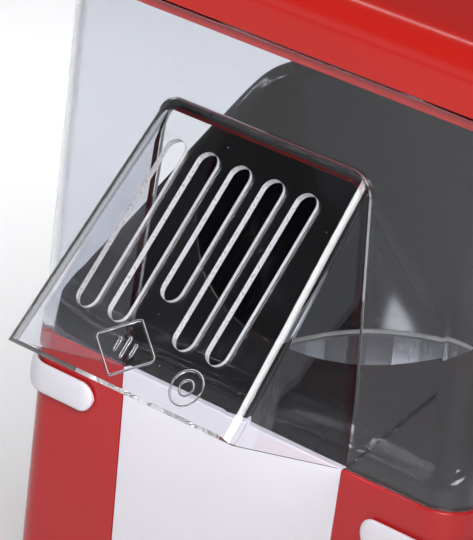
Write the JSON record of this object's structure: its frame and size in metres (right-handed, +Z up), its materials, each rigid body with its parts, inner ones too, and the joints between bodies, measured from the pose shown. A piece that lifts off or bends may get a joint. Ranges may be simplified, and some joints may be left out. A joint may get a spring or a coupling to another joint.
{
  "type": "popcorn maker",
  "caption": "Table-top hot-air popcorn maker: red and white base, clear front hood with a slotted pouring chute, black slide with a round bowl, and a lift-off red roof with a measuring cup.",
  "frame": {"origin": "on the table, under the middle of the whole box, chute included", "axes": "+Z up, the chute points to -Y, +X to the right seen from the front"},
  "size_m": [0.2086, 0.2274, 0.2814],
  "materials": {
    "red_plastic": "glossy moulded ABS",
    "white_plastic": "glossy moulded ABS",
    "clear_plastic": "clear polished styrene",
    "black_plastic": "glossy moulded heat-proof plastic",
    "fan_plastic": "moulded nylon",
    "rubber": "matte",
    "silicone": "matte",
    "chamber_aluminium": "spun and brushed",
    "galvanised_steel": "zinc plated sheet",
    "bright_steel": "turned, zinc plated",
    "heating_wire": "oxidised resistance wire",
    "mica": "mica sheet",
    "ceramic": "glazed tube",
    "circuit_board": "lacquered board"
  },
  "bodies": {
    "base": {"base_shell": "red_plastic", "rear_housing": "red_plastic", "front_panel": "white_plastic", "left_grip": "white_plastic", "right_grip": "white_plastic", "popcorn_slide": "black_plastic", "base_plate": "black_plastic", "switch_bezel": "black_plastic", "foot_1": "rubber", "foot_2": "rubber", "foot_3": "rubber", "foot_4": "rubber", "mount_bush_1": "rubber", "mount_bush_2": "rubber", "mount_bush_3": "rubber", "cord_gland": "rubber", "chamber_gasket": "silicone", "popping_chamber": "chamber_aluminium", "air_duct": "galvanised_steel", "motor": "galvanised_steel", "motor_mount": "galvanised_steel", "thermostat": "galvanised_steel", "base_screw_1": "bright_steel", "base_screw_2": "bright_steel", "base_screw_3": "bright_steel", "base_screw_4": "bright_steel", "heating_coil": "heating_wire", "heater_frame": "mica", "thermal_fuse": "ceramic", "power_board": "circuit_board"},
    "hood": {"clear_hood": "clear_plastic", "chute": "clear_plastic"},
    "roof": {"roof_cover": "red_plastic"},
    "cup": {"measuring_cup": "clear_plastic"},
    "rotor": {"motor_shaft": "bright_steel", "fan_impeller": "fan_plastic"},
    "rocker": {"switch_rocker": "red_plastic"}
  },
  "joints": [
    {"name": "hood_lift", "type": "slide", "parent": "base", "child": "hood", "axis": [0, 0, 1], "range_m": [0, 0.14]},
    {"name": "roof_lift", "type": "slide", "parent": "hood", "child": "roof", "axis": [0, 0, 1], "range_m": [0, 0.06]},
    {"name": "cup_lift", "type": "slide", "parent": "roof", "child": "cup", "axis": [0, 0, 1], "range_m": [0, 0.045]},
    {"name": "rocker_tilt", "type": "hinge", "parent": "base", "child": "rocker", "pos_m": [0.0953, 0.0797, 0.038], "axis": [0, -1, 0], "range_deg": [0, 16]},
    {"name": "fan_spin", "type": "hinge", "parent": "base", "child": "rotor", "pos_m": [0, 0.0327, 0.05], "axis": [0, 0, 1], "continuous": true}
  ]
}
